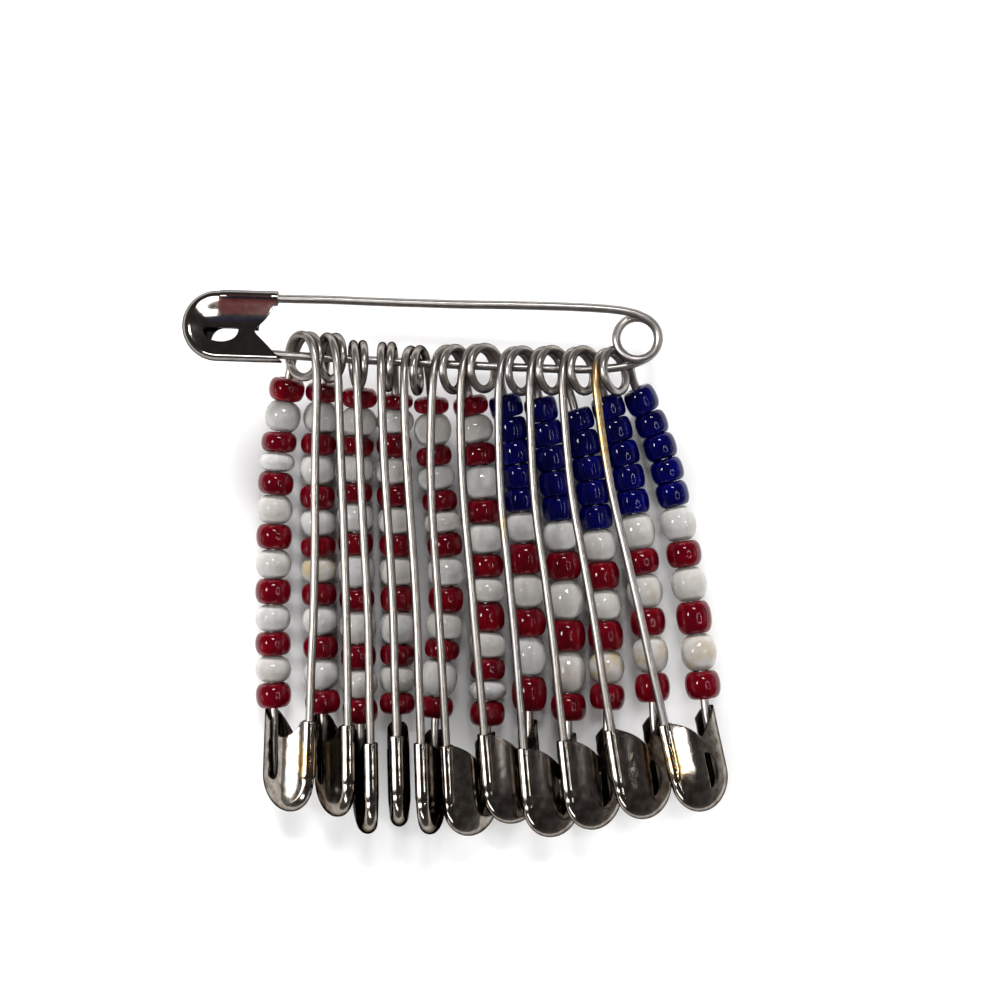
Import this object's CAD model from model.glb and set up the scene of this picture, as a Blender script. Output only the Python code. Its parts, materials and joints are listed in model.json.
import json
import math
import random

import bmesh
import bpy
from mathutils import Matrix, Vector
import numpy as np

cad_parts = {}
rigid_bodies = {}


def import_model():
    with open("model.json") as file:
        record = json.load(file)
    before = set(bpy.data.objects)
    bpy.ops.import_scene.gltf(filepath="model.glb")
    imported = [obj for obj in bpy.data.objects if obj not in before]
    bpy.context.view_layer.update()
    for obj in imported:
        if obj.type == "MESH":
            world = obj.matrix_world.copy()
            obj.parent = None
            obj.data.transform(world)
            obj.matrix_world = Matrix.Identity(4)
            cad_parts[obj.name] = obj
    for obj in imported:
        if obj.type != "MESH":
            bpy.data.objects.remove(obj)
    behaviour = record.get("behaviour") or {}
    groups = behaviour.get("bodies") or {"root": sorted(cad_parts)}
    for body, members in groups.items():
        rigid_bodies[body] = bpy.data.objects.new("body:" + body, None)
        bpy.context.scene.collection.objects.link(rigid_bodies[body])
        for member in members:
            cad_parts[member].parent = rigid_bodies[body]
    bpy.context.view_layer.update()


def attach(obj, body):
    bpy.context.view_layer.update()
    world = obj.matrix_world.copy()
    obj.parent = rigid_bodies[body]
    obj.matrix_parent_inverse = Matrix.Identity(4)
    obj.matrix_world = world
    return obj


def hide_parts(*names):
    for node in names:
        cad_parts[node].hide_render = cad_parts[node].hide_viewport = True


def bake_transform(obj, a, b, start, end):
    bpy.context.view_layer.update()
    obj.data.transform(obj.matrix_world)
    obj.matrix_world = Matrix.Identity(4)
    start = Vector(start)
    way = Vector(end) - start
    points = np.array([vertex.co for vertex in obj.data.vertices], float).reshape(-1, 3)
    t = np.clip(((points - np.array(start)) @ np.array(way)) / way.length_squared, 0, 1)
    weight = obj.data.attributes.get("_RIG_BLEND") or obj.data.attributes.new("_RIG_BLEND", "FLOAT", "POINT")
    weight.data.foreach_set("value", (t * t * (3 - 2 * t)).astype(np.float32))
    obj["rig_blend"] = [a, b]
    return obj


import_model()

MM = 0.001

# Sizes in millimetres, as in the part's source.
WIRE_R = 0.33
COIL_D = 4.0
COIL_R = (COIL_D - 2 * WIRE_R) / 2
COIL_FLARE = math.radians(35)
COIL_TURN = math.radians(360 + 180 - 70)
COIL_RISE = 0.74 * (540 - 70) / 360
EXIT_U = COIL_R * math.cos(COIL_FLARE)
EXIT_V = -COIL_R * math.sin(COIL_FLARE)
ARM = 29.0
SPREAD_MM = 2.6
IN_CAP = 5.2
CAP_W = 5.6
CAP_L = 7.4
CAP_T = 1.7
SHEET = 0.2
FIT = 0.03
TUBE_R = WIRE_R + FIT + SHEET
SPINE_U = CAP_W / 2 - TUBE_R + 0.05
NEEDLE_U = CAP_W / 2 - SHEET - WIRE_R - 5 * FIT
POINT_U = NEEDLE_U - 0.4
LIP_RISE = 0.4
SETTLE_FROM = COIL_D / 2 + 0.3
SETTLE_L = 7.0
RED_D = 2.86
WHITE_D = 2.88
BLUE_D = 2.66
BEAD_L = 2.05
HOLE_R = 0.6
BEAD_GAP = 0.17
CARRY = Vector((14.32, 17.838, 3.95))
CARRY_TURN = math.radians(-90 - 1.75)
CARRY_ARM = ARM * 0.985
CARRY_FORM = (CARRY_ARM, SPREAD_MM, 0.15, 0.0, 1)
REST_V = ARM / 2
REST_GAP = 0.22
BLUE_FROM = 6
BLUES = 5

# Values of the scene alone: steps of a wire's tube along each arm, round the coil, in the tip and round its section;
# half the depth of a cap's rolled edge; radii of the tube round the spine; how much of the gap between two beads the
# scene's glass fills; distance of a card from its cap, in metres.
ARM_STEPS = 90
COIL_STEPS = 110
TIP_STEPS = 14
WIRE_SIDES = 20
SLIM = 0.46
TUBE_OUTER = 0.58
TUBE_INNER = 0.36
GAP_FILL = 0.15
CARD_AWAY = 0.006

# Place of the coil, yaw, lean, spread, bow, sway, drop, lift, reach, start, span and hand of each small pin.
PINS = [
    (0.904, -46, -2.3, 1.00, 0.20, 0.00, 0.00, 0.04, 0.990, 0.42, 12.9, -1),
    (0.830, -31, 0.5, 1.00, 0.15, 0.00, 0.00, 0.08, 0.995, 0.46, 12.9, -1),
    (0.756, -14, 1.0, 1.00, 0.10, -0.01, 0.12, 0.14, 1.020, 0.42, 13.1, -1),
    (0.6757, -2, 1.4, 1.00, 0.10, 0.11, 0.12, 0.15, 0.995, 0.50, 12.5, -1),
    (0.598, 12, 1.8, 1.00, 0.15, 0.42, 0.16, 0.14, 1.005, 0.50, 12.5, -1),
    (0.512, 46, 2.9, 1.00, 0.23, 0.00, 0.10, 0.03, 1.020, 0.52, 12.9, 1),
    (0.430, 54, 4.6, 1.01, 0.27, 0.00, 0.05, 0.00, 0.995, 0.54, 12.4, 1),
    (0.328, 54, 4.8, 0.80, 0.37, 0.00, 0.07, 0.00, 1.025, 0.54, 12.7, 1),
    (0.2455, 54, 6.3, 0.92, 0.40, 0.00, 0.04, 0.00, 1.005, 0.80, 11.8, 1),
    (0.1590, 54, 8.9, 1.03, 0.38, 0.00, 0.03, 0.01, 0.980, 0.54, 12.1, 1),
    (0.0705, 54, 12.3, 1.40, 0.24, 0.00, 0.06, 0.012, 0.970, 0.40, 12.4, 1),
]
STATION, YAW, LEAN, SPREAD, BOW, SWAY, DROP, LIFT, REACH, START, SPAN, HAND = range(12)
CHART = [
    (0.96, 1.30, 0.85, 0.80, 0.95, 1.22, 1.05, 1.22, 1.06, 1.14, 0.98, 1.12, 1.05),
    (0.80, 1.32, 0.90, 1.30, 1.00, 1.16, 0.86, 1.08, 0.95, 1.24, 1.00, 1.28, 1.00),
    (0.82, 1.18, 0.80, 1.14, 0.86, 1.22, 0.96, 1.38, 0.96, 1.38, 1.05, 1.20, 1.08),
    (0.62, 0.98, 0.96, 1.08, 0.90, 1.10, 0.92, 1.16, 1.04, 1.30, 0.86, 1.08, 0.86),
    (0.66, 1.30, 0.80, 1.00, 0.84, 0.86, 0.96, 1.16, 1.04, 1.08, 0.80, 1.46, 0.86),
    (0.80, 1.14, 0.90, 1.36, 0.98, 1.24, 0.96, 1.02, 1.16, 1.06, 0.92, 0.82, 1.00),
    (0.92, 0.94, 0.92, 0.94, 0.92, 1.22, 1.22, 1.36, 1.10, 1.56, 1.36),
    (0.98, 1.00, 0.98, 1.00, 0.98, 1.26, 1.14, 1.60, 1.26, 1.66, 1.10),
    (0.90, 1.02, 0.96, 0.98, 0.96, 1.30, 1.12, 1.22, 1.20, 1.28, 1.02),
    (0.96, 0.96, 0.96, 0.96, 0.96, 1.42, 1.00, 1.34, 1.10, 1.44, 1.14),
    (1.02, 0.94, 0.98, 0.92, 0.96, 1.36, 1.02, 1.34, 1.26, 1.42, 1.08),
]


def spine_at(v):
    hold = (SPINE_U - EXIT_U) / math.tan(COIL_FLARE)
    return -(SPINE_U - (SPINE_U - EXIT_U) * math.exp(-(v - EXIT_V) / hold))


def needle_at(v, form):
    run = form[0] - EXIT_V
    t = (v - EXIT_V) / run
    straight = form[1] + (NEEDLE_U - form[1]) * t + 4 * form[2] * t * (1 - t)
    slope = (NEEDLE_U - form[1] + 4 * form[2]) / run
    hold = (form[1] - EXIT_U) / (math.tan(COIL_FLARE) - slope)
    return straight - (form[1] - EXIT_U) * math.exp(-(v - EXIT_V) / hold)


def side_at(v):
    t = min(1, max(0, (v - SETTLE_FROM) / SETTLE_L))
    return COIL_RISE / 2 * (1 - t * t * (3 - 2 * t))


def needle_side(v, form):
    t = max(0, v - SETTLE_FROM) / (form[0] - SETTLE_FROM)
    return 16 * form[3] * t * t * (1 - t) * (1 - t) - form[4] * side_at(v)


def form_of(k):
    p = PINS[k]
    return (p[REACH] * ARM, p[SPREAD] * SPREAD_MM, p[BOW] * WHITE_D, p[SWAY] * WHITE_D, p[HAND])


def turn(axis, degrees):
    return Matrix.Rotation(math.radians(degrees), 4, axis)


def carrying_place():
    return Matrix.Translation(CARRY) @ Matrix.Rotation(CARRY_TURN, 4, "Z")


def small_place(k):
    p = PINS[k]
    v = p[STATION] * ARM
    on = carrying_place() @ Vector((needle_at(v, CARRY_FORM), -v, -side_at(v)))
    centre = on + Vector((0, -p[DROP], p[LIFT])) * COIL_D
    reach = needle_at(REST_V, form_of(k)) * math.cos(math.radians(p[YAW]))
    dip = math.degrees(math.asin((WHITE_D / 2 + REST_GAP + reach - centre.z) / REST_V))
    return Matrix.Translation(centre) @ turn("Z", p[LEAN]) @ turn("X", -dip) @ turn("Y", 90 - p[YAW])


def in_metres(place):
    out = place.copy()
    out.translation = place.translation * MM
    return out


# Materials

def new_material(name):
    mat = bpy.data.materials.new(name)
    mat.use_nodes = True
    nodes = mat.node_tree.nodes
    shader = nodes["Principled BSDF"]
    return mat, nodes, mat.node_tree.links, shader


def noise(nodes, links, coord, scale, detail=3.0, stretch=(1, 1, 1), rough=0.55):
    mapping = nodes.new("ShaderNodeMapping")
    mapping.inputs["Scale"].default_value = stretch
    links.new(coord, mapping.inputs["Vector"])
    tex = nodes.new("ShaderNodeTexNoise")
    tex.inputs["Scale"].default_value = scale
    tex.inputs["Detail"].default_value = detail
    tex.inputs["Roughness"].default_value = rough
    links.new(mapping.outputs["Vector"], tex.inputs["Vector"])
    return tex.outputs["Fac"]


def ramp(nodes, links, value, stops):
    node = nodes.new("ShaderNodeValToRGB")
    items = node.color_ramp.elements
    while len(items) < len(stops):
        items.new(0.5)
    for item, (place, colour) in zip(items, stops):
        item.position = place
        item.color = colour if len(colour) == 4 else (*colour, 1)
    links.new(value, node.inputs["Fac"])
    return node.outputs["Color"]


def mix(nodes, links, factor, a, b, kind="MIX"):
    node = nodes.new("ShaderNodeMix")
    node.data_type = "RGBA"
    node.blend_type = kind
    for socket, value in ((node.inputs[0], factor), (node.inputs[6], a), (node.inputs[7], b)):
        if isinstance(value, bpy.types.NodeSocket):
            links.new(value, socket)
        else:
            socket.default_value = value
    return node.outputs[2]


def bump(nodes, links, shader, height, strength, distance):
    node = nodes.new("ShaderNodeBump")
    node.inputs["Strength"].default_value = strength
    node.inputs["Distance"].default_value = distance
    links.new(height, node.inputs["Height"])
    links.new(node.outputs["Normal"], shader.inputs["Normal"])


def attribute(nodes, name):
    node = nodes.new("ShaderNodeAttribute")
    node.attribute_name = name
    return node


def steel(name, colour, low, high, lines, dull, dents, flanks):
    """Polished nickel plate.

    Its colour varies in patches from dull to colour, and darkens by flanks where the surface faces sideways. Its
    roughness varies from low to high along the drawing lines, dents is the depth of its waves in metres, and the mesh
    says where it is tarnished.
    """
    mat, nodes, links, shader = new_material(name)
    coord = nodes.new("ShaderNodeTexCoord").outputs["UV"]
    shader.inputs["Metallic"].default_value = 1.0
    stain = attribute(nodes, "tarnish")
    mottle = noise(nodes, links, coord, 1.4, 4.0)
    fine = noise(nodes, links, coord, 9.0, 2.0, lines)
    pale = ramp(nodes, links, mottle, [(0.35, dull), (0.62, colour)])
    gold = ramp(nodes, links, mottle, [(0.3, (0.36, 0.2, 0.06)), (0.6, (0.74, 0.5, 0.2))])
    tint = mix(nodes, links, stain.outputs["Fac"], pale, gold)
    facing = nodes.new("ShaderNodeSeparateXYZ")
    links.new(nodes.new("ShaderNodeNewGeometry").outputs["Normal"], facing.inputs["Vector"])
    height = nodes.new("ShaderNodeMath")
    height.operation = "ABSOLUTE"
    links.new(facing.outputs["Z"], height.inputs[0])
    flank = ramp(nodes, links, height.outputs["Value"], [(0.1, flanks), (0.75, (1, 1, 1))])
    links.new(mix(nodes, links, 1.0, tint, flank, "MULTIPLY"), shader.inputs["Base Color"])
    rough = ramp(nodes, links, fine, [(0.3, (low, low, low)), (0.7, (high, high, high))])
    links.new(rough, shader.inputs["Roughness"])
    shader.inputs["Specular Tint"].default_value = (0.0, 0.0, 0.0, 1)
    if dents:
        bump(nodes, links, shader, noise(nodes, links, coord, 1.1, 1.5), 1.0, dents)
    return mat


def glass(name, colour, deep, transmission, rough):
    """Cloudy glass with swirls of a deeper colour and shallow ripples."""
    mat, nodes, links, shader = new_material(name)
    coord = nodes.new("ShaderNodeTexCoord").outputs["UV"]
    tone = attribute(nodes, "tone")
    swirl = noise(nodes, links, coord, 0.8, 1.0)
    base = ramp(nodes, links, swirl, [(0.3, deep), (0.7, colour)])
    base = mix(nodes, links, tone.outputs["Fac"], base, (*deep, 1))
    links.new(base, shader.inputs["Base Color"])
    shader.inputs["Transmission Weight"].default_value = transmission
    shader.inputs["Specular IOR Level"].default_value = 0.3
    shader.inputs["IOR"].default_value = 1.52
    grain = noise(nodes, links, coord, 5.0, 2.0)
    polish = ramp(nodes, links, grain, [(0.3, (rough,) * 3), (0.75, (rough * 2.2,) * 3)])
    links.new(polish, shader.inputs["Roughness"])
    bump(nodes, links, shader, noise(nodes, links, coord, 1.1, 1.0), 0.2, 0.00004)
    return mat


def white_glass(name):
    """Opaque white glass with a milky depth, faint drawing streaks and a few yellow stains."""
    mat, nodes, links, shader = new_material(name)
    coord = nodes.new("ShaderNodeTexCoord").outputs["UV"]
    tone = attribute(nodes, "tone")
    stain = attribute(nodes, "tarnish")
    cloud = noise(nodes, links, coord, 1.3, 3.0, (1, 0.4, 1))
    milk = [(0.3, (0.32, 0.313, 0.3)), (0.5, (0.37, 0.363, 0.357)), (0.7, (0.41, 0.406, 0.404))]
    base = ramp(nodes, links, cloud, milk)
    warm = mix(nodes, links, tone.outputs["Fac"], base, (0.34, 0.315, 0.275, 1))
    patches = noise(nodes, links, coord, 0.7, 3.0)
    spots = ramp(nodes, links, patches, [(0.42, (0, 0, 0)), (0.62, (0.8, 0.8, 0.8))])
    mask = mix(nodes, links, stain.outputs["Fac"], (0, 0, 0, 1), spots)
    links.new(mix(nodes, links, mask, warm, (0.28, 0.2, 0.085, 1)), shader.inputs["Base Color"])
    shader.inputs["Subsurface Weight"].default_value = 0.15
    shader.inputs["Subsurface Scale"].default_value = 0.0006
    shader.inputs["Subsurface Radius"].default_value = (1.0, 0.9, 0.8)
    shader.inputs["IOR"].default_value = 1.52
    grain = noise(nodes, links, coord, 6.0, 3.0)
    links.new(ramp(nodes, links, grain, [(0.3, (0.06,) * 3), (0.75, (0.14,) * 3)]), shader.inputs["Roughness"])
    bump(nodes, links, shader, noise(nodes, links, coord, 1.2, 2.0), 0.5, 0.0001)
    return mat


WIRE = steel(
    "wire_steel", (0.52, 0.49, 0.47), 0.28, 0.33, (0.6, 0.04, 1), (0.44, 0.41, 0.39), 0, (0.32, 0.3, 0.29))
SHEET_STEEL = steel(
    "cap_steel", (0.38, 0.35, 0.315), 0.1, 0.15, (9, 0.6, 1), (0.2, 0.168, 0.14), 0.000013, (0.17, 0.16, 0.15))
CLEAN_STEEL = steel(
    "clean_cap_steel", (0.36, 0.34, 0.315), 0.08, 0.11, (9, 0.6, 1), (0.28, 0.26, 0.24), 0.00001,
    (0.17, 0.16, 0.15))
RED = glass("red_glass", (0.21, 0.0, 0.006), (0.1, 0.0, 0.005), 0.5, 0.05)
BLUE = glass("blue_glass", (0.0005, 0.0007, 0.1), (0.0002, 0.0003, 0.035), 0.3, 0.04)
WHITE = white_glass("white_glass")


# Meshes

def in_scene(name, data):
    obj = bpy.data.objects.new(name, data)
    bpy.context.scene.collection.objects.link(obj)
    return obj


def new_object(name, bm, place, mat):
    """A smooth-shaded object from a bmesh that is already in metres."""
    mesh = bpy.data.meshes.new(name)
    bm.to_mesh(mesh)
    bm.free()
    for face in mesh.polygons:
        face.use_smooth = True
    mesh.materials.append(mat)
    obj = in_scene(name, mesh)
    obj.matrix_world = place
    return obj


def spine_end(form):
    """How far down a pin its spine ends, inside the cap."""
    return form[0] + CAP_L - CAP_W / 2 - 0.4


def wire_path(form, hand, swing):
    """Points of a pin's wire from the spine's end to the needle's point.

    hand is the sense of the coil, and swing moves the coil and the tops of the arms.
    """
    end = spine_end(form)
    points = []
    for i in range(ARM_STEPS):
        s = i / ARM_STEPS
        v = end + (EXIT_V - end) * (1 - (1 - s) ** 1.7)
        side = hand * COIL_RISE / 2 * (1 - smooth_step((v - SETTLE_FROM) / 20))
        points.append(swing(Vector((spine_at(v), -v, side)), 1 - smooth_step((v - EXIT_V) / 13)))
    for i in range(COIL_STEPS + 1):
        t = i / COIL_STEPS
        a = math.pi - COIL_FLARE - COIL_TURN * t
        on_coil = Vector((COIL_R * math.cos(a), COIL_R * math.sin(a), hand * COIL_RISE * (0.5 - t)))
        points.append(swing(on_coil, 1))
    for i in range(1, ARM_STEPS + 1):
        s = (i / ARM_STEPS) ** 1.7
        v = EXIT_V + (form[0] - EXIT_V) * s
        share = 1 - smooth_step((v - EXIT_V) / 2.7)
        side = needle_side(v, form) + (form[4] - hand) * side_at(v) * share
        points.append(swing(Vector((needle_at(v, form), -v, side)), share))
    for i in range(1, TIP_STEPS + 1):
        s = i / TIP_STEPS
        points.append(Vector((NEEDLE_U + (POINT_U - NEEDLE_U) * s, -form[0] - IN_CAP * s, 0)))
    for _ in range(3):
        points = [points[0]] + [
            (points[i - 1] + 2 * points[i] + points[i + 1]) / 4 for i in range(1, len(points) - 1)
        ] + [points[-1]]
    return points


def tube(bm, points, radii, sides, uv_layer, stain_layer, stain):
    """Sweeps rings of points along a path with frames that don't twist."""
    last = len(points) - 1
    ahead = [(points[min(i + 1, last)] - points[max(i - 1, 0)]).normalized() for i in range(len(points))]
    normal = Vector((0, 0, 1))
    rings = []
    along = 0.0
    lengths = []
    for i, p in enumerate(points):
        normal = (normal - ahead[i] * normal.dot(ahead[i])).normalized()
        side = ahead[i].cross(normal)
        if i:
            along += (p - points[i - 1]).length
        lengths.append(along)
        ring = []
        for j in range(sides):
            a = 2 * math.pi * j / sides
            ring.append(bm.verts.new((p + radii[i] * (math.cos(a) * side + math.sin(a) * normal)) * MM))
        rings.append(ring)
    for i in range(len(rings) - 1):
        here, there = rings[i], rings[i + 1]
        for j in range(sides):
            k = (j + 1) % sides
            face = bm.faces.new((here[j], here[k], there[k], there[j]))
            for loop, (a, b) in zip(face.loops, ((i, j), (i, j + 1), (i + 1, j + 1), (i + 1, j))):
                loop[uv_layer].uv = (b / sides, lengths[a])
    for i, ring in enumerate(rings):
        for vert in ring:
            vert[stain_layer] = stain(lengths[i], i / (len(rings) - 1))
    bm.faces.new(list(reversed(rings[0])))
    bm.faces.new(rings[-1])


def make_wire(name, form, place, stain=lambda along, share: 0.0, kink=0, hand=1, swing=lambda p, share: p):
    """A pin's wire with slight bends in its spine, which the seed kink gives."""
    points = wire_path(form, hand, swing)
    rng = random.Random(kink)
    phase = [rng.uniform(0, 6.28) for _ in range(4)]
    moved = []
    for i, p in enumerate(points):
        v = -p.y
        near = min(1, max(0, (v - 3) / 4)) * min(1, max(0, (form[0] - 1 - v) / 3))
        shift = 0.03 * near * math.sin(v * 0.3 + phase[0]) + 0.006 * near * math.sin(v * 0.9 + phase[1])
        lift = 0.02 * near * math.sin(v * 0.35 + phase[2])
        moved.append(p + Vector((shift, 0, lift)) if i < ARM_STEPS else p)
    taper = 12
    radii = [WIRE_R] * (len(moved) - taper) + [
        WIRE_R * (1 - 0.9 * ((i + 1) / taper) ** 1.3) for i in range(taper)
    ]
    radii[0] = WIRE_R * 0.8
    bm = bmesh.new()
    uv = bm.loops.layers.uv.new("UVMap")
    layer = bm.verts.layers.float.new("tarnish")
    tube(bm, moved, radii, WIRE_SIDES, uv, layer, stain)
    bmesh.ops.recalc_face_normals(bm, faces=bm.faces)
    return new_object(name, bm, in_metres(place), WIRE)


def smooth_step(t):
    t = min(1, max(0, t))
    return t * t * (3 - 2 * t)


def cap_sheet():
    """Middle surface of a cap: a pouch with a crowned closed face (+Z), open at the mouth."""
    half = (CAP_T - SHEET) / 2
    width = (CAP_W - SHEET) / 2
    low = -(CAP_L - CAP_W / 2)
    outline = []
    rows = 26
    for i in range(rows + 1):
        outline.append((1, LIP_RISE + 0.2 + (low - LIP_RISE - 0.2) * i / rows, None))
    turns = 30
    for i in range(1, turns):
        outline.append((0, low, math.pi * i / turns))
    for i in range(rows + 1):
        outline.append((-1, low + (LIP_RISE + 0.2 - low) * i / rows, None))
    bm = bmesh.new()
    uv = bm.loops.layers.uv.new("UVMap")
    grid = []
    for side, y, angle in outline:
        if side == -1:
            edge = SLIM
        elif side == 1:
            edge = half
        else:
            edge = half + (SLIM - half) * smooth_step((angle / math.pi - 0.45) / 0.5)
        flat = width - edge
        column = []
        profile = [flat * i / 12 for i in range(13)]
        arc = [math.pi / 2 - math.pi * i / 14 for i in range(1, 14)]
        for r in profile:
            s = r / flat
            z = half + (edge - half) * smooth_step(s) + 0.12 * (1 - s * s)
            column.append((r, z))
        for a in arc:
            column.append((flat + edge * math.cos(a), edge * math.sin(a)))
        for r in reversed(profile):
            s = r / flat
            z = half + (edge - half) * smooth_step(s) + 0.03 * (1 - s * s)
            column.append((r, -z))
        verts = []
        for r, z in column:
            if angle is None:
                verts.append(bm.verts.new((side * r, y, z)))
            else:
                taper = 1.0 - 0.1 * math.sin(angle) * smooth_step((r - 0.5) / flat)
                verts.append(bm.verts.new((r * math.cos(angle), y - r * math.sin(angle), z * taper)))
        grid.append(verts)
    for i in range(len(grid) - 1):
        for j in range(len(grid[0]) - 1):
            bm.faces.new((grid[i][j], grid[i][j + 1], grid[i + 1][j + 1], grid[i + 1][j]))
    bmesh.ops.remove_doubles(bm, verts=bm.verts, dist=0.004)
    bmesh.ops.recalc_face_normals(bm, faces=bm.faces)
    for face in bm.faces:
        for loop in face.loops:
            loop[uv].uv = (loop.vert.co.x, loop.vert.co.y)
    return bm


def prism(name, outline, low, high):
    bm = bmesh.new()
    bottom = [bm.verts.new((x, y, low)) for x, y in outline]
    top = [bm.verts.new((x, y, high)) for x, y in outline]
    bm.faces.new(bottom)
    bm.faces.new(top)
    n = len(outline)
    for i in range(n):
        bm.faces.new((bottom[i], bottom[(i + 1) % n], top[(i + 1) % n], top[i]))
    bmesh.ops.recalc_face_normals(bm, faces=bm.faces)
    mesh = bpy.data.meshes.new(name)
    bm.to_mesh(mesh)
    bm.free()
    return in_scene(name, mesh)


def curve_between(a, b, sag, steps=14):
    """Points from a to b on a shallow arc that bulges by sag to the left of the way."""
    ax, ay = a
    bx, by = b
    length = math.hypot(bx - ax, by - ay)
    nx, ny = -(by - ay) / length, (bx - ax) / length
    return [
        (ax + (bx - ax) * t + nx * sag * 4 * t * (1 - t), ay + (by - ay) * t + ny * sag * 4 * t * (1 - t))
        for t in [i / steps for i in range(steps + 1)]
    ]


def round_corner(points, reach):
    """Rounds the joint of two runs of points by a few passes of averaging near it."""
    out = list(points)
    for _ in range(reach):
        out = [out[0]] + [
            tuple((out[i - 1][c] + 2 * out[i][c] + out[i + 1][c]) / 4 for c in (0, 1))
            for i in range(1, len(out) - 1)
        ] + [out[-1]]
    return out


def cap_template(wide_open):
    """One finished cap mesh in metres, cut and bevelled, with its tube round the spine.

    wide_open is for the carrying cap, whose far side is left open for the needle to swing out.
    """
    bm = cap_sheet()
    mesh = bpy.data.meshes.new("cap_sheet")
    bm.to_mesh(mesh)
    bm.free()
    obj = in_scene("cap_sheet", mesh)
    solid = obj.modifiers.new("thick", "SOLIDIFY")
    solid.thickness = SHEET * 0.8
    solid.offset = 0
    solid.use_even_offset = True
    side = CAP_W / 2 + 1
    tube_u = TUBE_R - SPINE_U - 0.15
    lip = LIP_RISE + 0.12
    notch, open_cut = (
        round_corner(
            curve_between((tube_u, 0.05), deep, sag) + curve_between(deep, (2.62, lip), lip_sag)[1:], 3)
        for deep, sag, lip_sag in (((0.35, -1.7), 0.22, 0.06), ((0.3, -1.5), -0.35, 0.1)))
    ends = [(side, lip), (side, 3), (-side, 3), (-side, 0.05)]
    cutters = [
        prism("notch", notch + ends, 0.02, 3),
        prism("open_cut", open_cut + ends, -3, 0.02),
    ]
    low = -CAP_L + 1.8
    window = []
    for i in range(29):
        a = -math.pi / 2 + math.pi * i / 28
        window.append((0.2 + 1.08 * math.cos(a) ** 0.8, low + 1.4 + 1.4 * math.sin(a)))
    window = window + [(0.2, low + 2.8 - 2.8 * (i + 1) / 12) for i in range(11)]
    cutters.append(prism("window", window, 0.1, 3))
    right = CAP_W / 2 - (0.24 if wide_open else 1.2)
    slot = (POINT_U + 0.66) if wide_open else 1.2
    bottom = -CAP_L + 2.5
    edge = []
    for i in range(40):
        y = 3 - (3 - bottom - 0.6) * i / 39
        wave = 0.0 if wide_open else 0.07 * math.sin(y * 2.1 + 0.6) + 0.03 * math.sin(y * 5.3)
        edge.append((right + wave * (1 if y < 0.3 else 0), y))
    round_end = [
        (right - slot / 2 + slot / 2 * math.cos(a), bottom + 0.6 + min(slot / 2, 0.9) * math.sin(a))
        for a in [-math.pi * i / 16 for i in range(1, 16)]
    ]
    left = [
        (right - slot - 0.06 * math.sin((y - bottom) * 1.4), y)
        for y in [bottom + 0.6 + (3 - bottom - 0.6) * i / 20 for i in range(21)]
    ]
    cutters.append(prism("slot", edge + round_end + left, -3, -0.1))
    for cutter in cutters:
        cut = obj.modifiers.new(cutter.name, "BOOLEAN")
        cut.operation = "DIFFERENCE"
        cut.solver = "EXACT"
        cut.object = cutter
    bevel = obj.modifiers.new("edges", "BEVEL")
    bevel.width = 0.045
    bevel.segments = 2
    bevel.limit_method = "ANGLE"
    bevel.angle_limit = math.radians(40)
    bpy.context.view_layer.update()
    done = bpy.data.meshes.new_from_object(obj.evaluated_get(bpy.context.evaluated_depsgraph_get()))
    for gone in cutters + [obj]:
        bpy.data.objects.remove(gone)
    bm = bmesh.new()
    bm.from_mesh(done)
    uv = bm.loops.layers.uv.verify()
    # tube round the spine
    outer, inner = TUBE_OUTER, TUBE_INNER
    rows = [(inner, 0.0), (inner, 0.03), (inner + 0.04, 0.07)]
    rows += [(outer - 0.05, 0.075), (outer - 0.01, 0.04), (outer, -0.02)]
    rows += [(outer, -0.6 * i) for i in range(1, 8)] + [(outer - 0.06, -4.5), (inner, -4.6), (inner, -2.0)]
    sides = 28
    rings = []
    for r, y in rows:
        angles = [2 * math.pi * j / sides for j in range(sides)]
        rings.append([bm.verts.new((-SPINE_U + r * math.cos(a), y + 0.05, r * math.sin(a))) for a in angles])
    for i, here in enumerate(rings):
        there = rings[(i + 1) % len(rings)]
        for j in range(sides):
            k = (j + 1) % sides
            bm.faces.new((here[j], there[j], there[k], here[k]))
    bmesh.ops.recalc_face_normals(bm, faces=bm.faces)
    bm.verts.layers.float.new("tarnish")
    for face in bm.faces:
        face.smooth = True
        for loop in face.loops:
            loop[uv].uv = (loop.vert.co.x, loop.vert.co.y)
    for crease in bm.edges:
        if len(crease.link_faces) == 2 and crease.calc_face_angle(0) > math.radians(38):
            crease.smooth = False
    for vert in bm.verts:
        vert.co *= MM
    bm.to_mesh(done)
    bm.free()
    return done


def make_cap(name, template, place, metal, stain=None):
    mesh = template.copy()
    mesh.name = name
    mesh.materials.clear()
    mesh.materials.append(metal)
    if stain:
        data = mesh.attributes["tarnish"].data
        for vert in mesh.vertices:
            data[vert.index].value = stain(vert.co / MM)
    obj = in_scene(name, mesh)
    obj.matrix_world = in_metres(place)
    return obj


def bead_profile(length, d, rim, power, hole):
    """Closed outline of half a bead as (radius, height), from the hole's lower end round the outside."""
    half = length / 2
    points = []
    n = 18
    for i in range(n + 1):
        a = -math.pi / 2 + math.pi * i / n
        c, s = abs(math.cos(a)) ** (2 / power), abs(math.sin(a)) ** (2 / power)
        points.append((d / 2 - rim + rim * c, math.copysign(half * s, a)))
    lip = 0.12
    for i in range(1, 5):
        a = math.pi / 2 * i / 4
        points.append((hole + lip - lip * math.sin(a), half - lip + lip * math.cos(a)))
    points.append((hole - 0.02, 0))
    for i in range(4):
        a = math.pi / 2 * (1 - i / 4)
        points.append((hole + lip - lip * math.sin(a), -half + lip - lip * math.cos(a)))
    return points


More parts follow.
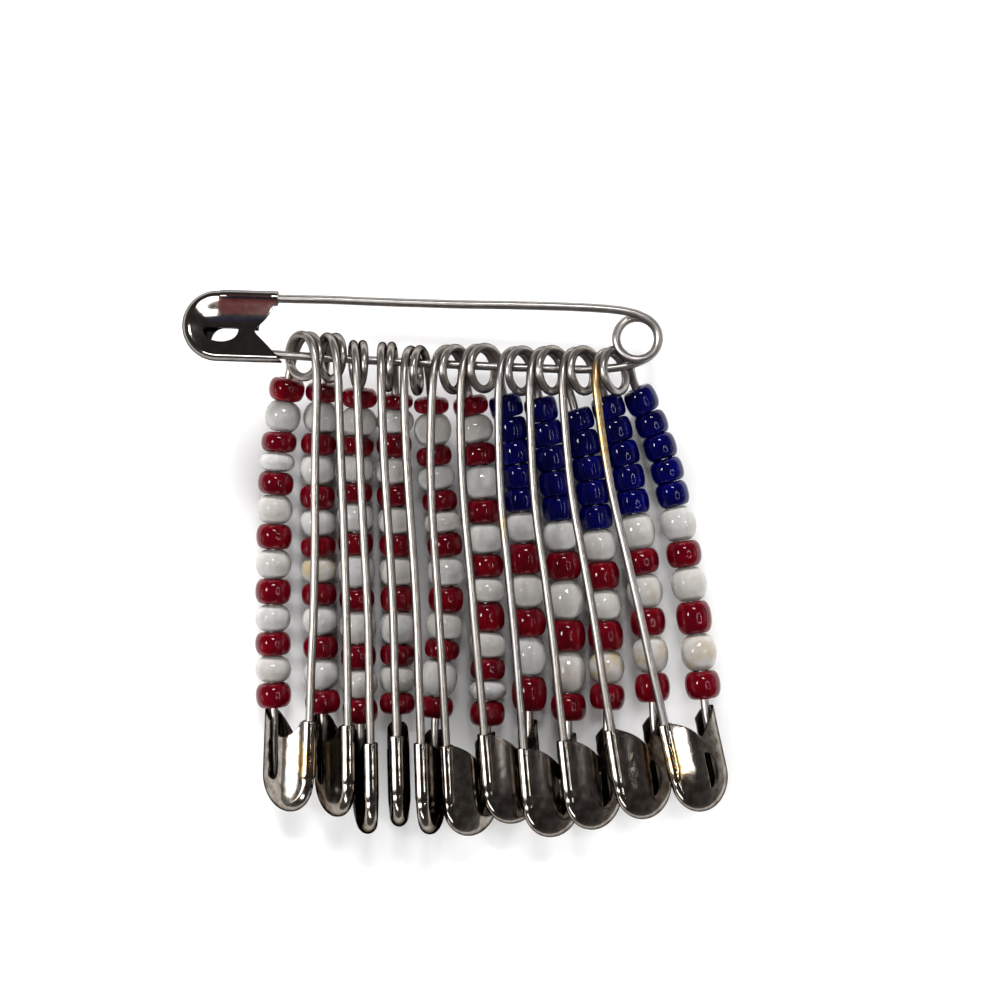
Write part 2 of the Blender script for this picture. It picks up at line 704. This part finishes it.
def add_bead(bm, layers, place, length, d, rim, rng, power, tone, stain):
    """Adds one bead, a little out of round, slanted and swollen by random draws."""
    uv, tone_layer, stain_layer = layers
    profile = bead_profile(length, d, rim, power, HOLE_R)
    sides = 32
    squash = (1 + rng.uniform(-0.012, 0.004), 1 + rng.uniform(-0.012, 0.004))
    slant = [rng.uniform(-0.025, 0.025), rng.uniform(-0.025, 0.025)]
    spin = rng.uniform(0, 6.28)
    swell = rng.uniform(-0.03, 0.03)
    shift = rng.uniform(0, 40)
    rings = []
    for r, y in profile:
        ring = []
        for j in range(sides):
            a = 2 * math.pi * j / sides
            grow = 1 + (swell * y / length if r > HOLE_R + 0.2 else 0)
            x, z = r * grow * math.cos(a) * squash[0], r * grow * math.sin(a) * squash[1]
            lift = (slant[0] * x + slant[1] * z) * (1 if r > HOLE_R else 0.5)
            point = Matrix.Rotation(spin, 3, "Y") @ Vector((x, y + lift, z))
            vert = bm.verts.new((place @ point) * MM)
            vert[tone_layer] = tone
            vert[stain_layer] = stain
            ring.append(vert)
        rings.append(ring)
    n = len(rings)
    run = [0.0]
    for i in range(1, n + 1):
        a, b = profile[i - 1], profile[i % n]
        run.append(run[-1] + math.hypot(a[0] - b[0], a[1] - b[1]))
    for i in range(n):
        here, there = rings[i], rings[(i + 1) % n]
        for j in range(sides):
            k = (j + 1) % sides
            face = bm.faces.new((here[j], here[k], there[k], there[j]))
            face.smooth = True
            for loop, (a, b) in zip(face.loops, ((i, j), (i, j + 1), (i + 1, j + 1), (i + 1, j))):
                loop[uv].uv = (shift + d * math.pi * b / sides, shift + run[a])


# How stained some white beads are, by the numbers of their column and bead from 0.
STAINED = {(1, 7): 0.9, (7, 9): 0.5, (8, 9): 0.9, (9, 9): 1.0, (10, 9): 0.6, (9, 7): 0.3, (2, 11): 0.3}


def make_beads(name, k, numbers, d, rim, mat, power):
    """The beads of one colour in column k, strung along the needle."""
    rng = random.Random(1000 + 17 * k + len(name))
    chart = CHART[k]
    unit = PINS[k][SPAN] * BEAD_L / sum(chart)
    form = form_of(k)
    place = small_place(k)
    bm = bmesh.new()
    floats = bm.verts.layers.float
    layers = (bm.loops.layers.uv.new("UVMap"), floats.new("tone"), floats.new("tarnish"))
    for i in numbers:
        length = chart[i] * unit - BEAD_GAP + GAP_FILL
        v = PINS[k][START] * COIL_D + (sum(chart[:i]) + chart[i] / 2) * unit
        quarter = BEAD_L / 4
        out = (needle_at(v + quarter, form) - needle_at(v - quarter, form)) / (2 * quarter)
        side = (needle_side(v + quarter, form) - needle_side(v - quarter, form)) / (2 * quarter)
        tilt = turn("X", rng.uniform(-2.5, 2.5)) @ turn("Z", rng.uniform(-2.5, 2.5))
        at = Matrix.Translation((needle_at(v, form), -v, needle_side(v, form)))
        at = at @ turn("X", -math.degrees(math.atan(side))) @ turn("Z", math.degrees(math.atan(out))) @ tilt
        tone = rng.uniform(0.0, 0.5)
        add_bead(bm, layers, place @ at, length, d, rim, rng, power, tone, STAINED.get((k, i), 0.0))
    bmesh.ops.recalc_face_normals(bm, faces=bm.faces)
    return new_object(name, bm, Matrix.Identity(4), mat)


def wire_stain(k, form):
    """How tarnished the spine of small pin k is, by the way along its wire and its share of the whole."""
    def stain(along, share):
        v = spine_end(form) - along
        if k == 10:
            level = 0.85 * smooth_step((v + 2) / 2) * smooth_step((9.5 - v) / 4)
        elif k == 7:
            level = 0.6 * math.exp(-((v - 12) / 0.8) ** 2)
        else:
            return 0.06
        return level if share < 0.5 else 0.0
    return stain


def cap_stain(p):
    """Brass that shows along a cap's tube."""
    near = math.exp(-((p.x + SPINE_U) / 0.7) ** 2)
    return 0.7 * near * smooth_step((-p.y - 0.8) / 1.5) * smooth_step((5 + p.y) / 1.5)


def coil_swing(k, place):
    """Turns the coils of the last six pins to the photo's side, and moves them off their neighbours."""
    aside = place.to_3x3().inverted() @ Vector((0.32, 0, 0))

    def swing(p, share):
        return p if k < 5 else turn("Y", 14 * share) @ p + aside * share
    return swing


ROOT = "beaded_needle"
CLASP = "clasp"

# carrying pin
place = carrying_place()
carrying = make_wire("carrying_wire", CARRY_FORM, place, kink=50)
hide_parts("carrying_spine", "carrying_needle")
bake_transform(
    carrying, CLASP, ROOT,
    start=(place @ Vector((-COIL_R, -1, 0))) * MM, end=(place @ Vector((COIL_R, -1, 0))) * MM)
open_cap = cap_template(True)
cap = make_cap("carrying_cap_sheet", open_cap, place @ Matrix.Translation((0, -CARRY_ARM, 0)), CLEAN_STEEL)
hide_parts("carrying_cap")
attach(cap, CLASP)

# small pins
small_cap = cap_template(False)
for k in range(11):
    number = "%02d" % (k + 1)
    place = small_place(k)
    form = form_of(k)
    wire = make_wire("wire_" + number, form, place, wire_stain(k, form), kink=k, hand=-1, swing=coil_swing(k, place))
    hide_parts("pin_wire_" + number)
    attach(wire, ROOT)
    cap_place = place @ Matrix.Translation((0, -form[0], 0))
    cap = make_cap("cap_" + number, small_cap, cap_place, SHEET_STEEL, cap_stain if k in (0, 10) else None)
    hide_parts("pin_cap_" + number)
    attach(cap, ROOT)
    last = len(CHART[k])
    first_red, first_white = (0, 1) if k < BLUE_FROM else (BLUES + 1, BLUES)
    wide = 1.05 if 1 < k < 6 else 1
    sets = [
        ("red", range(first_red, last, 2), RED_D, 0.6, RED, 2.2),
        ("white", range(first_white, last, 2), WHITE_D * wide, 0.9, WHITE, 2.0)]
    if k >= BLUE_FROM:
        rim, power = (0.5, 2.4) if k == 10 else (0.42, 2.6)
        sets.append(("blue", range(BLUES), BLUE_D, rim, BLUE, power))
    for colour, numbers, d, rim, mat, power in sets:
        beads = make_beads(colour + "_" + number, k, numbers, d, rim, mat, power)
        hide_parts(colour + "_beads_" + number)
        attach(beads, ROOT)

# floor, light and camera
floor_mesh = bpy.data.meshes.new("floor")
floor_mesh.from_pydata([(-3, -3, 0), (3, -3, 0), (3, 3, 0), (-3, 3, 0)], [], [(0, 1, 2, 3)])
floor = in_scene("floor", floor_mesh)
floor.location = (0, 0, -0.0001)  # just under the brooch
mat, nodes, links, shader = new_material("floor")
coord = nodes.new("ShaderNodeTexCoord").outputs["Object"]
tint = ramp(nodes, links, noise(nodes, links, coord, 9.0), [(0.3, (0.9, 0.9, 0.9)), (0.7, (0.94, 0.94, 0.94))])
links.new(tint, shader.inputs["Base Color"])
shader.inputs["Roughness"].default_value = 0.9
floor_mesh.materials.append(mat)


EYE = Vector((0.00348, 0.0051, 0.15))
PHOTO_AWAY = 148  # mm from the lens to the middle of the beads
PHOTO_WIDE = 80  # mm that the photo shows at that distance
SENSOR = 36


def aim(obj, target):
    obj.rotation_euler = (Vector(target) - obj.location).to_track_quat("-Z", "Y").to_euler()


def area(name, where, size, watts, target=(0, 0, 0.002), colour=(1, 1, 1)):
    light = bpy.data.lights.new(name, "AREA")
    light.shape = "RECTANGLE"
    light.size, light.size_y = size
    light.energy = watts
    light.color = colour
    obj = in_scene(name, light)
    obj.location = where
    aim(obj, target)
    return obj


def bulb(name, where, radius, watts):
    light = bpy.data.lights.new(name, "POINT")
    light.shadow_soft_size = radius
    light.energy = watts
    obj = in_scene(name, light)
    obj.location = where
    return obj


def only_on(lamp, *words):
    """Lets a lamp light only the pieces whose name has one of some words in it."""
    group = bpy.data.collections.new("lit_by_" + lamp.name)
    for obj in bpy.context.scene.objects:
        if obj.type == "MESH" and any(word in obj.name for word in words):
            group.objects.link(obj)
    lamp.light_linking.receiver_collection = group


# four lamps for the diffuse light, then narrow ones for the glints and streaks
for name, x, y, z, watts in (
        ("back", -0.08, 0.5, 0.17, 4.6), ("front", 0.08, -0.5, 0.17, 2.2),
        ("left", -0.5, -0.1, 0.14, 2.6), ("right", 0.5, 0.1, 0.14, 1.9)):
    lamp = area(name, (x, y, z), (0.24, 0.08), watts)
    lamp.visible_glossy = False
area("high_back", (0.02, 0.2, 0.3), (0.1, 0.02), 0.3)
area("dash", (-0.2, 0.03, 0.25), (0.05, 0.04), 0.18)
only_on(area("wire_streak", (-0.18, 0.0, 0.24), (0.1, 0.3), 0.5), "wire")
only_on(area("cap_streak", (-0.25, 0.0, 0.2), (0.26, 0.3), 1.9), "cap_0", "cap_1")
only_on(area("cap_rim", (-0.12, -0.24, 0.2), (0.2, 0.05), 0.3), "cap")


def card(piece, place, at, size, light, colour=(1, 1, 1)):
    """A small lamp near a cap, which shows as the reflection of something bright at one spot of its face.

    at is the spot and size the lamp's width and height, in millimetres of the cap's own face.
    """
    cap = bpy.data.objects[piece]
    into = cap.matrix_world.inverted()
    target = (place @ Vector((at[0], at[1], 0))) * MM
    start = into @ EYE
    _, where, slope, _ = cap.ray_cast(start, (into @ target - start).normalized())
    spot = cap.matrix_world @ where
    normal = (cap.matrix_world.to_3x3() @ slope).normalized()
    sight = (spot - EYE).normalized()
    away = sight - 2 * sight.dot(normal) * normal
    wide, high = size[0] * MM, size[1] * MM
    watts = light * math.pi * wide * high
    lamp = area("card_" + piece, spot + away * CARD_AWAY, (wide, high), watts, spot, colour)
    up = (place.to_3x3() @ Vector((0, 1, 0))).normalized()
    across = up.cross(away).normalized()
    lamp.rotation_euler = Matrix((across, away.cross(across), away)).transposed().to_euler()
    lamp.visible_camera = False
    only_on(lamp, piece)


bpy.context.view_layer.update()
place = small_place(10) @ Matrix.Translation((0, -form_of(10)[0], 0))
card("cap_11", place, (-1.15, -2.2), (1.2, 3.6), 9.0)
place = carrying_place() @ Matrix.Translation((0, -CARRY_ARM, 0))
card("carrying_cap_sheet", place, (-1.9, -5.65), (1.1, 2.3), 8.0)
card("carrying_cap_sheet", place, (-1.25, -2.5), (1.1, 5.4), 0.22, (1, 0.01, 0.03))
card("carrying_cap_sheet", place, (-0.5, -3.2), (1.5, 6), 0.05, (0.03, 0.03, 1))

# a ring of small bulbs, leaning towards the brooch, for the arcs of glints in the glass
RING_LAMPS = 16
RING_R = 0.055
for i in range(RING_LAMPS):
    a = 2 * math.pi * i / RING_LAMPS
    across, up = RING_R * math.cos(a), RING_R * math.sin(a)
    bulb("ring_%d" % i, (0.125 + 0.85 * across, up, 0.2 - 0.53 * across), 0.004, 0.02)

world = bpy.data.worlds.new("world")
bpy.context.scene.world = world
world.use_nodes = True
nodes, links = world.node_tree.nodes, world.node_tree.links
split = nodes.new("ShaderNodeSeparateXYZ")
links.new(nodes.new("ShaderNodeTexCoord").outputs["Generated"], split.inputs["Vector"])
heights = [(0.0, (0.26, 0.25, 0.24)), (0.35, (0.09, 0.086, 0.083)), (0.65, (0.05, 0.046, 0.045))]
sky = ramp(nodes, links, split.outputs["Z"], heights)
links.new(sky, nodes["Background"].inputs["Color"])
nodes["Background"].inputs["Strength"].default_value = 1.0
bpy.context.scene.view_settings.view_transform = "Standard"

camera_data = bpy.data.cameras.new("camera")
camera = in_scene("camera", camera_data)
camera.location = EYE
camera.rotation_euler = (0, 0, 0)
camera_data.sensor_fit = "HORIZONTAL"
camera_data.sensor_width = SENSOR
camera_data.lens = SENSOR * PHOTO_AWAY / PHOTO_WIDE
camera_data.clip_start = 0.005
camera_data.clip_end = 20
bpy.context.scene.camera = camera

bpy.context.view_layer.update()
